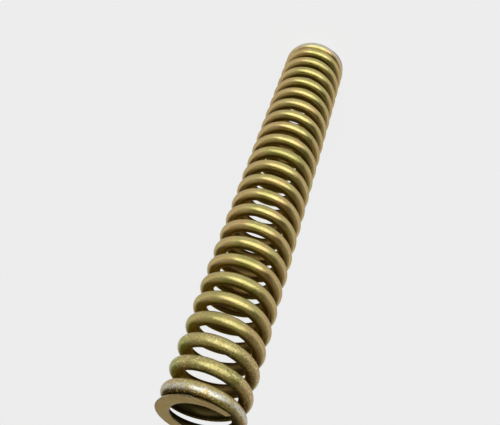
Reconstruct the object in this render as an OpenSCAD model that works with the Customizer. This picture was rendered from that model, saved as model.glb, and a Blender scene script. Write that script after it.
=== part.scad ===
// Gear assist spring: a left-hand compression spring wound from round wire,
// with its ends closed and ground flat. It stands on its base, +Z along the coil axis.

/* [Wire] */
// Diameter of the round spring wire
wire_d = 4.25; // [2.5:0.05:5]

/* [Coil] */
// Outside diameter over the coils
outside_d = 25.4; // [20:0.2:40]
// Free length between the two ground end faces
free_length = 168; // [145:1:260]
// Turns of wire from one tip to the other
total_turns = 25.05; // [16:0.05:26]

/* [Ends] */
// Turns at the base that lie against their neighbour
base_closed_turns = 1.75; // [0.8:0.05:2.5]
// Turns at the top that lie against their neighbour
top_closed_turns = 0.85; // [0.8:0.05:2.5]
// Turns over which the closed pitch opens to the working pitch
easing_turns = 0.5; // [0.2:0.1:2]
// Gap between a closed turn and its neighbour
closing_gap = 0.05; // [0.05:0.05:0.5]
// Thickness of wire that the grinding leaves at each tip
tip_thickness = 0.3; // [0.2:0.1:2]

/* [Facets] */
// Sides of the wire's round section
wire_sides = 10; // [8:2:12]
// Sections of the wire in one turn
rings_per_turn = 20; // [12:4:20]

/* [Hidden] */

wire_r = wire_d / 2;
mean_r = (outside_d - wire_d) / 2;

// Height of the wire's centre at the base tip, and its climb from there to the top tip
base_tip_z = tip_thickness - wire_r;
climb = free_length - 2 * base_tip_z;

// Turns from the base tip at which the pitch starts to open and to close again
opens_at = base_closed_turns;
closes_at = total_turns - top_closed_turns - easing_turns;

// Rise in one turn: closed at the ends, open for the turns between
closed_pitch = wire_d + closing_gap;
open_turns = closes_at - opens_at;
open_pitch = closed_pitch + (climb - closed_pitch * total_turns) / open_turns;

// The grinding takes off all that lies beyond an end face
grind_depth = 2 * wire_d;
grind_width = 2 * outside_d;

// How far the pitch has eased, from 0 to 1, so many turns after the easing starts
function eased(turns) = min(1, max(0, turns / easing_turns));

// The sum of that over the turns: a square law during the easing, then a straight line
function eased_sum(turns) =
    turns <= 0 ? 0
    : turns < easing_turns ? turns * turns / (2 * easing_turns)
    : turns - easing_turns / 2;

// Pitch of the coil, and height of the wire's centre, so many turns from the base tip
function pitch_at(turns) =
    closed_pitch + (open_pitch - closed_pitch) * (eased(turns - opens_at) - eased(turns - closes_at));
function height_at(turns) =
    base_tip_z + closed_pitch * turns
    + (open_pitch - closed_pitch) * (eased_sum(turns - opens_at) - eased_sum(turns - closes_at));

// One point of the wire's skin. The section stands square to the wire, which leans by
// the coil's own helix angle, and a left-hand coil turns clockwise as it climbs.
function skin_point(turns, around) =
    let (
        bearing = -360 * turns,
        lean = atan2(pitch_at(turns), 2 * PI * mean_r),
        outward = mean_r + wire_r * cos(around),
        aside = wire_r * sin(around) * sin(lean),
        up = wire_r * sin(around) * cos(lean)
    )
    [
        outward * cos(bearing) - aside * sin(bearing),
        outward * sin(bearing) + aside * cos(bearing),
        height_at(turns) + up
    ];

// The whole wire as one skin: a ring of points for each section, closed by a cap at each tip
module coiled_wire() {
    steps = ceil(total_turns * rings_per_turn);
    points = [
        for (step = [0 : steps], side = [0 : wire_sides - 1])
            skin_point(total_turns * step / steps, 360 * side / wire_sides)
    ];
    skin = [
        for (step = [0 : steps - 1], side = [0 : wire_sides - 1])
            let (
                next = (side + 1) % wire_sides,
                near = step * wire_sides,
                far = near + wire_sides
            )
            each [
                [near + side, far + side, far + next],
                [near + side, far + next, near + next]
            ]
    ];
    base_cap = [for (side = [0 : wire_sides - 1]) side];
    top_cap = [for (side = [0 : wire_sides - 1]) (steps + 1) * wire_sides - 1 - side];
    polyhedron(points, concat(skin, [base_cap, top_cap]));
}

// What the grinding wheel takes off beyond an end face, below it (-1) or above it (1)
module ground_off(height, side) {
    translate([0, 0, height + side * grind_depth / 2])
        cube([grind_width, grind_width, grind_depth], center = true);
}

module coil_spring() {
    color([0.56, 0.48, 0.26])
        difference() {
            coiled_wire();
            ground_off(0, -1);
            ground_off(free_length, 1);
        }
}

coil_spring();
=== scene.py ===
# %% [markdown]
# # A gear assist spring
# One length of steel wire, wound left-handed into a slender compression spring, closed and ground flat at
# both ends, with a gold-coloured plating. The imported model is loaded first, because the spring's place and
# its main sizes come from it.

# %% Load the frame
import math

import bpy
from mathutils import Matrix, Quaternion, Vector


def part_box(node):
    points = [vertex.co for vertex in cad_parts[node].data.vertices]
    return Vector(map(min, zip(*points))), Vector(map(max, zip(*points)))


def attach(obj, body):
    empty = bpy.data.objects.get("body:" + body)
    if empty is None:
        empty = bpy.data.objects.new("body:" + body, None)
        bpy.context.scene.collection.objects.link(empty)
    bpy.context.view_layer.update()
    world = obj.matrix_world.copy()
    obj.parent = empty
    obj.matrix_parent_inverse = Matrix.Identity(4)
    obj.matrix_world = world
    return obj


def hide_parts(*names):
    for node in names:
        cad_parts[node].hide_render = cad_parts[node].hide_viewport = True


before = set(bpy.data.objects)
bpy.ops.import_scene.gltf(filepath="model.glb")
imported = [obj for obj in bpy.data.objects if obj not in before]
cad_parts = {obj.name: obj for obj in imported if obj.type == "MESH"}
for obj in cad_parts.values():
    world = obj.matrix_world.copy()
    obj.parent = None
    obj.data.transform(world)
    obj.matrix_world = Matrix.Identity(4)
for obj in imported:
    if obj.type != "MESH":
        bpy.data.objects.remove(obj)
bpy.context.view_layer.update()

spring_low, spring_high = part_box("coil_spring")
free_length = spring_high[2] - spring_low[2]
outside_r = (spring_high[0] - spring_low[0]) / 2
print(f"spring: {2000 * outside_r:.1f} mm across, {1000 * free_length:.1f} mm long")

# %% [markdown]
# ## The camera
# The photograph was taken from close by, looking down past the nearer end, with the spring leaning across
# the picture. Here the spring stands on its far end, so the same view is a camera above it that is rolled
# almost upside down. A camera can be placed by typing its rotation, but a point to aim at and a roll are
# easier to read and to correct.

# %% Camera
camera_aim = Vector((-0.00621, 0.00362, 0.08921))
camera_distance = 0.22197
camera_azimuth = math.radians(-111.085)
camera_elevation = math.radians(40.812)
camera_roll = math.radians(-160.624)
sensor_width_mm = 36
image_width_px = 500
focal_px = 625.75

bpy.ops.object.camera_add()
camera = bpy.context.object
camera.name = "photo_camera"
looks_along = Vector((
    math.sin(camera_azimuth) * math.cos(camera_elevation),
    math.cos(camera_azimuth) * math.cos(camera_elevation),
    -math.sin(camera_elevation),
))
camera.location = camera_aim - camera_distance * looks_along
level = looks_along.to_track_quat("-Z", "Y")
camera.rotation_euler = (level @ Quaternion((0, 0, 1), camera_roll)).to_euler()
camera.data.sensor_fit = "HORIZONTAL"
camera.data.sensor_width = sensor_width_mm
camera.data.lens = focal_px / image_width_px * sensor_width_mm
camera.data.clip_start = 0.005
bpy.context.scene.camera = camera
print(f"camera {camera.location.length:.3f} m from the base, lens {camera.data.lens:.1f} mm")

# %% [markdown]
# ## Small steps
# In Blender a material, and a room too, is a tree of nodes that each do one small thing. By hand they are
# dragged out and wired up on the screen. The helpers below add such steps one at a time, so that a recipe
# can be read from top to bottom.

# %% Small steps
def add_node(tree, kind, values=None, **settings):
    """A new node with its settings and the values of its unlinked sockets."""
    new = tree.nodes.new(kind)
    for name, value in settings.items():
        setattr(new, name, value)
    for socket, value in (values or {}).items():
        new.inputs[socket].default_value = value
    return new


def feed(tree, value, socket):
    """Link a socket to another node's output, or set it to a plain value."""
    if isinstance(value, bpy.types.NodeSocket):
        tree.links.new(value, socket)
    else:
        socket.default_value = value


def calc(tree, operation, first, second):
    """One step of arithmetic on two values."""
    step = add_node(tree, "ShaderNodeMath", operation=operation)
    feed(tree, first, step.inputs[0])
    feed(tree, second, step.inputs[1])
    return step.outputs[0]


def ease(tree, value, start, finish, low=0, high=1):
    """Go smoothly from low to high while a value goes from start to finish."""
    span = {"From Min": start, "From Max": finish, "To Min": low, "To Max": high}
    step = add_node(tree, "ShaderNodeMapRange", span, interpolation_type="SMOOTHSTEP")
    tree.links.new(value, step.inputs["Value"])
    return step.outputs["Result"]


def seen_directly(tree):
    """1 for what is seen, straight or by way of metal or glass, and 0 for light on other things."""
    ray = add_node(tree, "ShaderNodeLightPath").outputs
    seen = calc(tree, "MAXIMUM", ray["Is Camera Ray"], ray["Is Glossy Ray"])
    return calc(tree, "MAXIMUM", seen, ray["Is Transmission Ray"])


print("steps: add a node, feed a socket, calculate, ease, and tell what is seen")

# %% [markdown]
# ## The room
# Round wire is a curved mirror, and in the photograph it mirrors a room that is mostly dark. So the world
# is dim, and only fills the shadows. Towards the horizon it turns as pale as the floor, like the paper
# sweep behind a photographer's table, which gives a plain background from the side. That paleness is only
# for what is seen, straight or mirrored, and doesn't light the floor. The heights at which it fades are
# sines of the angle above the horizon.

# %% Room
room_level = 0.025
backdrop_level = 0.83
backdrop_fades_from = 0.06
backdrop_fades_to = 0.28

bpy.context.scene.view_settings.view_transform = "Standard"
world = bpy.data.worlds.new("dim_room")
world.use_nodes = True
tree = world.node_tree
room = tree.nodes["Background"]
room.inputs["Color"].default_value = (1, 1, 1, 1)
direction = add_node(tree, "ShaderNodeSeparateXYZ")
tree.links.new(add_node(tree, "ShaderNodeTexCoord").outputs["Generated"], direction.inputs[0])
backdrop = ease(
    tree, direction.outputs["Z"], backdrop_fades_from, backdrop_fades_to, backdrop_level - room_level, 0
)
backdrop_seen = calc(tree, "MULTIPLY", seen_directly(tree), backdrop)
tree.links.new(calc(tree, "ADD", backdrop_seen, room_level), room.inputs["Strength"])
bpy.context.scene.world = world
print(f"room at {room_level}, seen as {backdrop_level} towards the horizon")

# %% [markdown]
# ## Light
# The wire also shows how the photograph was lit: one large soft light, which draws a bright line along
# each coil, a weaker light at either side, and darkness elsewhere. Sun lamps with a wide angle give such
# lights, and they are the same all over the floor, which nearby lamps aren't.

# %% Light
def add_soft_light(name, bearing, elevation, angle, energy):
    """A sun lamp that shines from a bearing and an elevation, all angles in degrees."""
    turn, tilt = math.radians(bearing), math.radians(elevation)
    direction = Vector((math.cos(turn) * math.cos(tilt), math.sin(turn) * math.cos(tilt), math.sin(tilt)))
    bpy.ops.object.light_add(type="SUN", location=direction)
    lamp = bpy.context.object
    lamp.name = name
    lamp.rotation_euler = direction.to_track_quat("Z", "Y").to_euler()
    lamp.data.angle = math.radians(angle)
    lamp.data.energy = energy
    print(f"{name}: {energy} W per square metre from {elevation} degrees above the floor")


add_soft_light("main_light", bearing=31, elevation=7, angle=86, energy=3.44)
add_soft_light("left_light", bearing=116, elevation=17, angle=72, energy=0.5)
add_soft_light("right_light", bearing=-80, elevation=16, angle=78, energy=0.41)

# %% [markdown]
# ## Floor
# A plain pale floor fills the picture. Paint alone would come out grey, because the light falls on it at a
# low angle, so for the camera, and for what the metal reflects, most of it glows as pale as the
# photograph's background. The rest stays paint, which keeps the spring's soft shadow.

# %% Floor
floor_width = 40
paint_grey = (0.6, 0.6, 0.6, 1)
glow_white = (0.965, 0.965, 0.965, 1)
glow_share = 0.84

bpy.ops.object.select_all(action="DESELECT")
bpy.ops.mesh.primitive_plane_add(size=floor_width, location=(0, 0, 0))
floor = bpy.context.object
floor.name = "floor"

floor_paint = bpy.data.materials.new("pale_floor")
floor_paint.use_nodes = True
tree = floor_paint.node_tree
tree.nodes.clear()
paint = add_node(tree, "ShaderNodeBsdfDiffuse", {"Color": paint_grey})
glow = add_node(tree, "ShaderNodeEmission", {"Color": glow_white, "Strength": 1})
mix = add_node(tree, "ShaderNodeMixShader")
output = add_node(tree, "ShaderNodeOutputMaterial")
tree.links.new(calc(tree, "MULTIPLY", seen_directly(tree), glow_share), mix.inputs[0])
tree.links.new(paint.outputs[0], mix.inputs[1])
tree.links.new(glow.outputs[0], mix.inputs[2])
tree.links.new(mix.outputs[0], output.inputs["Surface"])
floor.data.materials.append(floor_paint)
print(f"floor {floor.dimensions.x:.0f} m wide, {glow_share:.0%} of it glowing")

# %% [markdown]
# ## Sizes of the coil
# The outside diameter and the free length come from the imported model. The rest are the part's own sizes,
# in metres. A spring maker thinks in pitch, the rise of the wire in one turn: at the ends the turns lie
# against each other, and between them the pitch is open. A short easing joins the two, as on the coiling
# machine.

# %% Sizes of the coil
wire_r = 0.002125
mean_r = outside_r - wire_r
total_turns = 25.05
base_closed_turns = 1.75
top_closed_turns = 0.85
easing_turns = 0.5
closing_gap = 0.00005
tip_thickness = 0.0003

base_tip_z = tip_thickness - wire_r
climb = free_length - 2 * base_tip_z
opens_at = base_closed_turns
closes_at = total_turns - top_closed_turns - easing_turns
closed_pitch = 2 * wire_r + closing_gap
open_pitch = closed_pitch + (climb - closed_pitch * total_turns) / (closes_at - opens_at)


def eased_sum(turns):
    """Turns of open pitch gained so many turns after the easing starts."""
    if turns <= 0:
        return 0
    if turns < easing_turns:
        return turns * turns / (2 * easing_turns)
    return turns - easing_turns / 2


def height_at(turns):
    """Height of the wire's centre, so many turns from the base tip."""
    opened = eased_sum(turns - opens_at) - eased_sum(turns - closes_at)
    return base_tip_z + closed_pitch * turns + (open_pitch - closed_pitch) * opened


print(f"pitch {1000 * closed_pitch:.2f} mm closed, {1000 * open_pitch:.2f} mm open")

# %% [markdown]
# ## Winding the wire
# A machine bends the real wire into a coil. In Blender a round section, stood square to the wire, is
# carried round by the Screw modifier, and a negative angle makes the coil left-hand. A curve with a bevel
# could do it too, but it can twist the section, and the marks along the wire should run straight.

# %% An even coil
section_sides = 32
steps_per_turn = 64
lean = math.atan2(open_pitch, 2 * math.pi * mean_r)
whole_turns = round(total_turns)

bpy.ops.object.select_all(action="DESELECT")
bpy.ops.mesh.primitive_circle_add(
    vertices=section_sides, radius=wire_r, location=(mean_r, 0, 0), rotation=(math.pi / 2 + lean, 0, 0)
)
spring = bpy.context.object
spring.name = "wound_wire"
bpy.ops.object.transform_apply(location=True, rotation=True, scale=True)
screw = spring.modifiers.new("winding", "SCREW")
screw.axis = "Z"
screw.angle = -2 * math.pi * total_turns / whole_turns
screw.screw_offset = open_pitch * total_turns / whole_turns
screw.iterations = whole_turns
screw.steps = steps_per_turn
screw.render_steps = steps_per_turn
screw.use_merge_vertices = False
bpy.ops.object.modifier_apply(modifier="winding")
rings = len(spring.data.vertices) // section_sides
print(f"even coil: {rings} rings of {section_sides}, {len(spring.data.polygons)} faces")

# %% [markdown]
# The screw gives an even coil, but the real one closes up at its ends. Two coils of different pitch could
# be joined, with a kink where they meet. Instead each ring of points is lifted or lowered to the height
# that the pitch gives it, so the wire stays one smooth skin.

# %% Lift the rings to the real pitch
for index, vertex in enumerate(spring.data.vertices):
    turns = total_turns * (index // section_sides) / (rings - 1)
    vertex.co.z += height_at(turns) - open_pitch * turns
heights = [vertex.co.z for vertex in spring.data.vertices]
print(f"coil from {1000 * min(heights):.2f} to {1000 * max(heights):.2f} mm, before grinding")

# %% [markdown]
# ## Places on the straight wire
# Drawn wire has fine marks along its length, and they were wound up with it. A pattern can follow them if
# each point of the skin remembers where it was on the straight wire. So an attribute keeps, for each
# point, how far it lies from the wire's centre outwards and upwards, and how far along the wire. A UV map
# could hold a place round the wire and along it, but it would have a seam.

# %% Places on the straight wire
turn_length = math.hypot(2 * math.pi * mean_r, open_pitch)
section = []
for vertex in spring.data.vertices[:section_sides]:
    outward = vertex.co.x - mean_r
    upward = (vertex.co.z - base_tip_z) / math.cos(lean)
    section.append((outward, upward))

straight = spring.data.attributes.new("straight_wire", "FLOAT_VECTOR", "POINT")
for index in range(len(spring.data.vertices)):
    ring, side = divmod(index, section_sides)
    along = total_turns * turn_length * ring / (rings - 1)
    straight.data[index].vector = (*section[side], along)
print(f"wire {1000 * total_turns * turn_length:.0f} mm long, if all of it had the open pitch")

# %% [markdown]
# ## Ground ends
# Both ends are ground flat on a wheel, so that the spring stands square on its seat, and the last turn
# thins out to a blade. Here the open tips are capped, and a bisect cuts at each end face and fills the
# cut. The cut's threshold has to be tiny, because a coarse one pulls nearby points onto the plane and
# closes the bore.

# %% Cap the tips and grind the ends flat
cut_slack = 1e-7
bpy.ops.object.mode_set(mode="EDIT")
bpy.ops.mesh.select_mode(type="EDGE")
bpy.ops.mesh.select_all(action="DESELECT")
bpy.ops.mesh.select_non_manifold(extend=False)
bpy.ops.mesh.edge_face_add()
bpy.ops.mesh.select_all(action="SELECT")
bpy.ops.mesh.normals_make_consistent(inside=False)
bpy.ops.mesh.bisect(
    plane_co=(0, 0, 0), plane_no=(0, 0, 1), use_fill=True, clear_inner=True, threshold=cut_slack
)
bpy.ops.mesh.select_all(action="SELECT")
bpy.ops.mesh.bisect(
    plane_co=(0, 0, free_length), plane_no=(0, 0, 1), use_fill=True, clear_outer=True, threshold=cut_slack
)
bpy.ops.object.mode_set(mode="OBJECT")
print(f"ground coil: {len(spring.data.polygons)} faces")

# %% [markdown]
# Grinding leaves a sharp burr, which is taken off by hand or in a tumbler, and the edge that is left
# shines. An inset draws a narrow rim inside each flat, and the rim's outer edge is then let down a little.
# A bevel would do the same on a block, but it stumbles where the flat runs out along the wire.

# %% Take the burr off the ground edges
rim_width = 0.00018
rim_drop = 0.00006
ends = (0, free_length)
off_plane_slack = 1e-6
level_normal = 0.999


def is_level(face):
    """True for a face that lies in one of the two end planes."""
    off_plane = min(abs(face.center.z - end) for end in ends)
    return off_plane < off_plane_slack and abs(face.normal.z) > level_normal


for face in spring.data.polygons:
    face.select = is_level(face)
bpy.ops.object.mode_set(mode="EDIT")
bpy.ops.mesh.select_mode(type="FACE")
bpy.ops.mesh.inset(thickness=rim_width, use_even_offset=False)
bpy.ops.object.mode_set(mode="OBJECT")

ground_faces = [face.index for face in spring.data.polygons if face.select]
rim_faces = [face.index for face in spring.data.polygons if is_level(face) and not face.select]
flat_points = {point for index in ground_faces for point in spring.data.polygons[index].vertices}
rim_points = {point for index in rim_faces for point in spring.data.polygons[index].vertices}
for index in rim_points - flat_points:
    point = spring.data.vertices[index]
    point.co.z += rim_drop if point.co.z < free_length / 2 else -rim_drop
print(f"{len(ground_faces)} ground flats inside {len(rim_faces)} rim faces")

# %% [markdown]
# Drawn wire is round and shows no facets, so its faces are shaded smooth. The flats and their rims stay
# flat: smoothed over the edge, they would look like a soft cushion. Smoothing by angle keeps the sharp
# edges between.

# %% Smooth the wire and keep the flats flat
smooth_up_to = math.radians(35)
bpy.ops.object.shade_smooth_by_angle(angle=smooth_up_to)
for index in ground_faces + rim_faces:
    spring.data.polygons[index].use_smooth = False
print(f"{len(spring.data.polygons)} faces, smooth but for the flats and their rims")

# %% [markdown]
# ## Gold plating
# The wire is zinc plated and dipped, which leaves a thin film, yellow gold with bronze clouds. Painted on
# top of it are reflections at the coil's left and right sides, browner on both and green on one near the
# top,
# and shade inside the coil and in the groove of the top turn. A film like that is metal under a clear coat:
# the metal gives the colour, and the coat the pale shine. Two more small steps are needed for it: one lays a
# colour over another, and one makes grain.

# %% Steps for a film
def tint(tree, share, under, over):
    """Lay a share of one colour over another."""
    step = add_node(tree, "ShaderNodeMix", data_type="RGBA")
    # The Mix node's sockets for numbers, vectors and colours share their names, so colours go by number.
    feed(tree, share, step.inputs["Factor"])
    feed(tree, under, step.inputs[6])
    feed(tree, over, step.inputs[7])
    return step.outputs[2]


def grain(tree, place, scale, detail):
    """Noise with its own number of grains per metre along each axis."""
    stretch = add_node(tree, "ShaderNodeMapping", {"Scale": scale})
    noise = add_node(tree, "ShaderNodeTexNoise", {"Scale": 1, "Detail": detail})
    tree.links.new(place, stretch.inputs["Vector"])
    tree.links.new(stretch.outputs["Vector"], noise.inputs["Vector"])
    return noise.outputs["Fac"]


print("steps: tint and grain")

# %% [markdown]
# Marks sit on a certain turn of the wire and on a certain side of it. They could be painted on by hand,
# but the places on the straight wire already say where each point is: the length gives the turn, and the
# other two the angle round the wire, counted from its outside.

# %% Where a point lies on the wire
plating = bpy.data.materials.new("gold_plating")
plating.use_nodes = True
tree = plating.node_tree
metal = tree.nodes["Principled BSDF"]
wire_place = add_node(tree, "ShaderNodeAttribute", attribute_name="straight_wire").outputs["Vector"]
room_place = add_node(tree, "ShaderNodeTexCoord").outputs["Object"]
split = add_node(tree, "ShaderNodeSeparateXYZ")
tree.links.new(wire_place, split.inputs[0])
outward, upward, along = split.outputs
turn = calc(tree, "DIVIDE", along, turn_length)
around = calc(tree, "ARCTAN2", upward, outward)
print("gold plating knows the turn, and the angle round the wire from its outside")

# %% [markdown]
# The film isn't even: it is olive gold with bronze clouds. Besides that, the coil's two sides, left and
# right as the camera sees it, are painted browner, a painted reflection. Clouds of noise over the whole
# spring give the first, and the distance to either side, broken up by longer clouds along the wire, gives
# the second.

# %% Clouds of colour in the film, and painted reflection at the sides
olive = (0.4, 0.36, 0.09, 1)
gold = (0.54, 0.455, 0.15, 1)
bronze = (0.53, 0.36, 0.125, 1)
side_bearing = math.radians(111)

clouds = add_node(tree, "ShaderNodeValToRGB")
tree.links.new(grain(tree, room_place, (130, 130, 130), detail=3), clouds.inputs["Fac"])
clouds.color_ramp.elements[0].position = 0.36
clouds.color_ramp.elements[0].color = olive
clouds.color_ramp.elements[1].position = 0.66
clouds.color_ramp.elements[1].color = bronze
clouds.color_ramp.elements.new(0.5).color = gold

sideways = add_node(tree, "ShaderNodeVectorMath", operation="DOT_PRODUCT")
sideways.inputs[1].default_value = (math.cos(side_bearing), math.sin(side_bearing), 0)
tree.links.new(room_place, sideways.inputs[0])
to_the_side = sideways.outputs["Value"]
side_clouds = ease(tree, grain(tree, wire_place, (150, 150, 60), detail=2), 0.3, 0.6, 0.4, 1)
# Painted reflection: the coil's left and right sides, as the camera sees it, are painted bronze.
painted_reflection_sides = ease(tree, calc(tree, "ABSOLUTE", to_the_side, 0), 0.4 * outside_r, 0.85 * outside_r)
film_and_painted_light = tint(tree, calc(tree, "MULTIPLY", painted_reflection_sides, side_clouds), clouds.outputs["Color"], bronze)
print("film: olive and gold with bronze clouds, browner at both sides")

# %% [markdown]
# Towards the top, one of those sides is painted green, another painted reflection. Inside the coil the film
# is painted brown, darkest in the top turns: painted shade where little light reaches.

# %% Painted green reflection on one side, and painted shade inside
green = (0.36, 0.44, 0.065, 1)
inner_painted_shade = (0.2, 0.13, 0.038, 1)
top_inner_painted_shade = (0.05, 0.038, 0.012, 1)

near_top = calc(tree, "MULTIPLY", ease(tree, turn, 18.5, 22.5), ease(tree, turn, 23.4, 23.0))
# Painted reflection: green on one side of the top coils, as the camera sees them.
painted_green_side = calc(tree, "MULTIPLY", ease(tree, to_the_side, 0.68 * outside_r, 0.95 * outside_r), near_top)
film_and_painted_light = tint(tree, calc(tree, "MULTIPLY", painted_green_side, 0.9), film_and_painted_light, green)
# Painted shade: the inside of the coil is painted brown, and darker still in the top turns.
inner_shade_colour = tint(tree, ease(tree, turn, 22.3, 23.6), inner_painted_shade, top_inner_painted_shade)
film_and_painted_light = tint(tree, ease(tree, outward, 0.55 * wire_r, -0.5 * wire_r), film_and_painted_light, inner_shade_colour)
print("film: green on one side of the top coils, brown inside")

# %% [markdown]
# Near each end the film is rubbed through to bare zinc, in a streak on the outside that runs across the
# coil next to the ground turn at the top, and all along the lowest coil at the base. Painting by hand
# could do it, but a streak that is given by turns and angles can be moved. Noise breaks up its edges.

# %% Worn streaks near the ends
bare_zinc = (0.6, 0.59, 0.52, 1)
streak_fade_turns = 0.12
streak_core_share = 0.4


def wear_and_shade_streak(first_turn, last_turn, first_angle, last_angle, half_width):
    """A streak that wanders round the wire between two angles, in radians from its outside."""
    span = {"From Min": first_turn, "From Max": last_turn, "To Min": first_angle, "To Max": last_angle}
    middle = add_node(tree, "ShaderNodeMapRange", span)
    tree.links.new(turn, middle.inputs["Value"])
    aside = calc(tree, "ABSOLUTE", calc(tree, "SUBTRACT", around, middle.outputs["Result"]), 0)
    across = ease(tree, aside, half_width, streak_core_share * half_width)
    starts = ease(tree, turn, first_turn - streak_fade_turns, first_turn + streak_fade_turns)
    stops = ease(tree, turn, last_turn + streak_fade_turns, last_turn - streak_fade_turns)
    return calc(tree, "MULTIPLY", across, calc(tree, "MULTIPLY", starts, stops))


ragged = grain(tree, wire_place, (1100, 1100, 500), detail=5)
top_streak = wear_and_shade_streak(
    first_turn=23.68, last_turn=24.24, first_angle=0.6, last_angle=-0.15, half_width=0.5
)
base_streak = wear_and_shade_streak(
    first_turn=0.1, last_turn=1.25, first_angle=-0.3, last_angle=-0.3, half_width=0.95
)
top_worn = calc(tree, "MULTIPLY", top_streak, ease(tree, ragged, 0.36, 0.54))
base_worn = calc(tree, "MULTIPLY", base_streak, ease(tree, ragged, 0.28, 0.42))
colour = tint(tree, calc(tree, "MAXIMUM", top_worn, base_worn), film_and_painted_light, bare_zinc)
print("worn streaks on the last coils of both ends")

# %% [markdown]
# Where the last turn closes on its neighbour there is a groove, and it is painted nearly black: painted
# shade. Just past the tip of the blade a brown patch is laid on the film. Both are the same kind of streak,
# set on the side of the wire that faces the neighbour.

# %% Painted shade in the closing groove, and a brown patch
groove_shade_colour = (0.045, 0.036, 0.014, 1)
past_tip_brown = (0.42, 0.29, 0.13, 1)

# Painted shade: the groove where the last turn closes on its neighbour, painted nearly black.
painted_groove_shade = wear_and_shade_streak(first_turn=23.45, last_turn=23.93, first_angle=1.35, last_angle=1.35, half_width=0.75)
colour = tint(tree, calc(tree, "MULTIPLY", painted_groove_shade, 0.85), colour, groove_shade_colour)
# A brown patch laid just past the tip of the blade.
rubbed = wear_and_shade_streak(first_turn=24.07, last_turn=24.25, first_angle=1, last_angle=1, half_width=0.55)
colour = tint(tree, calc(tree, "MULTIPLY", rubbed, 0.8), colour, past_tip_brown)
print("grime in the groove of the top turn, and a brown patch past its tip")

# %% [markdown]
# The film has a fine grain, because zinc grows in crystals. The top coils are also peppered: tiny pits
# that have gone dark, and tiny chips that shine. They could be modelled, but there are so many that they
# would need far more faces than the wire has, so they come from the peaks of a fine noise. Further down
# they are fainter.

# %% Grain, pits and chips
grain_brown = (0.2, 0.15, 0.05, 1)
pit_dark = (0.07, 0.05, 0.022, 1)
chip_pale = (0.8, 0.71, 0.42, 1)

outside = ease(tree, outward, -0.5 * wire_r, 0.2 * wire_r)
fine_grain = ease(tree, grain(tree, wire_place, (2300, 2300, 1500), detail=2), 0.5, 0.68)
coarser = ease(tree, turn, 16, 22.5, 0.22, 0.5)
grain_share = calc(tree, "MULTIPLY", outside, calc(tree, "MULTIPLY", fine_grain, coarser))
colour = tint(tree, grain_share, colour, grain_brown)

peppered = calc(tree, "MULTIPLY", ease(tree, turn, 20.3, 22.4, 0.2, 1), outside)
pit_peaks = ease(tree, grain(tree, wire_place, (1900, 1900, 1900), detail=2), 0.59, 0.69)
chip_peaks = ease(tree, grain(tree, wire_place, (1600, 1600, 1600), detail=2), 0.575, 0.65)
pits = calc(tree, "MULTIPLY", pit_peaks, peppered)
chips = calc(tree, "MULTIPLY", chip_peaks, peppered)
colour = tint(tree, calc(tree, "MULTIPLY", pits, 0.6), colour, pit_dark)
colour = tint(tree, calc(tree, "MULTIPLY", chips, 0.8), colour, chip_pale)
tree.links.new(colour, metal.inputs["Base Color"])
print("fine grain on the outside, pits and chips strongest on the top coils")

# %% [markdown]
# Last come the gloss and the relief. The drawing die left fine streaks along the wire, which scatter the
# shine a little, and the pits are shallow dents. The top coils are duller. One even roughness would look
# like plastic. The clear coat is left off inside the coil.

# %% Gloss and relief
metal.inputs["Metallic"].default_value = 0.97
metal.inputs["Specular Tint"].default_value = (0.5, 0.4, 0.15, 1)
metal.inputs["Coat Roughness"].default_value = 0.25
metal.inputs["Coat IOR"].default_value = 1.5
tree.links.new(ease(tree, outward, 0.25 * wire_r, 0.85 * wire_r, 0, 0.9), metal.inputs["Coat Weight"])

die_streaks = grain(tree, wire_place, (1100, 1100, 70), detail=4)
gloss = ease(tree, die_streaks, 0.3, 0.7, 0.28, 0.38)
duller = ease(tree, turn, 18, 22.5, 0, 0.11)
tree.links.new(calc(tree, "ADD", gloss, duller), metal.inputs["Roughness"])
relief = calc(tree, "SUBTRACT", calc(tree, "MULTIPLY", die_streaks, 0.35), pits)
bump = add_node(tree, "ShaderNodeBump", {"Strength": 0.35, "Distance": 0.00006})
tree.links.new(relief, bump.inputs["Height"])
tree.links.new(bump.outputs["Normal"], metal.inputs["Normal"])
spring.data.materials.append(plating)
print("gloss from the die's streaks, relief from streaks and pits")

# %% [markdown]
# ## Ground flats
# The ends were ground before plating, so the flats carry the same film on a rough surface: matt, tan, with
# fine lines that all run one way, as the wheel passed. A separate material is simpler than a mask, because
# the flats are faces of their own.

# %% Ground flats
tan_dark = (0.63, 0.46, 0.17, 1)
tan_pale = (0.74, 0.56, 0.24, 1)
tan_stain = (0.6, 0.38, 0.13, 1)

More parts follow.
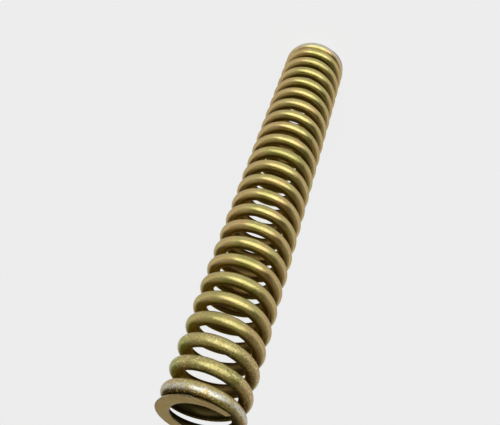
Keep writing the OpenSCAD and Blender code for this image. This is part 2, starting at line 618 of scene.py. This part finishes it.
ground = bpy.data.materials.new("ground_flat")
ground.use_nodes = True
tree = ground.node_tree
matt = tree.nodes["Principled BSDF"]
matt.inputs["Metallic"].default_value = 0.05
room_place = add_node(tree, "ShaderNodeTexCoord").outputs["Object"]
wheel_lines = grain(tree, room_place, (3200, 140, 140), detail=3)
stains = grain(tree, room_place, (240, 240, 240), detail=2)
lined = tint(tree, ease(tree, wheel_lines, 0.35, 0.65), tan_dark, tan_pale)
stained = tint(tree, ease(tree, stains, 0.4, 0.65, 0, 0.6), lined, tan_stain)
tree.links.new(stained, matt.inputs["Base Color"])
tree.links.new(ease(tree, wheel_lines, 0.3, 0.7, 0.42, 0.6), matt.inputs["Roughness"])
bump = add_node(tree, "ShaderNodeBump", {"Strength": 0.3, "Distance": 0.00003})
tree.links.new(wheel_lines, bump.inputs["Height"])
tree.links.new(bump.outputs["Normal"], matt.inputs["Normal"])
spring.data.materials.append(ground)
for index in ground_faces:
    spring.data.polygons[index].material_index = 1
print(f"{len(ground_faces)} ground flats are matt")

# %% [markdown]
# The edges that were freed of their burr are the first to wear, so they are brighter than the flats, from
# brown to nearly bare. A mask could find them by their curve, but here they are the faces of the rims.

# %% Worn edges
edge_brown = (0.5, 0.4, 0.2, 1)
edge_bright = (0.72, 0.68, 0.55, 1)

edge = bpy.data.materials.new("worn_edge")
edge.use_nodes = True
tree = edge.node_tree
bright = tree.nodes["Principled BSDF"]
bright.inputs["Metallic"].default_value = 0.6
room_place = add_node(tree, "ShaderNodeTexCoord").outputs["Object"]
rubbed = grain(tree, room_place, (500, 500, 500), detail=3)
edge_tint = tint(tree, ease(tree, rubbed, 0.35, 0.65), edge_brown, edge_bright)
tree.links.new(edge_tint, bright.inputs["Base Color"])
tree.links.new(ease(tree, rubbed, 0.3, 0.7, 0.3, 0.5), bright.inputs["Roughness"])
spring.data.materials.append(edge)
for index in rim_faces:
    spring.data.polygons[index].material_index = 2
print(f"{len(rim_faces)} faces of worn edge")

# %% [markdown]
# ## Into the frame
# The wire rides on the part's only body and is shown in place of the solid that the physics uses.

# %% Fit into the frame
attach(spring, "root")
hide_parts("coil_spring")
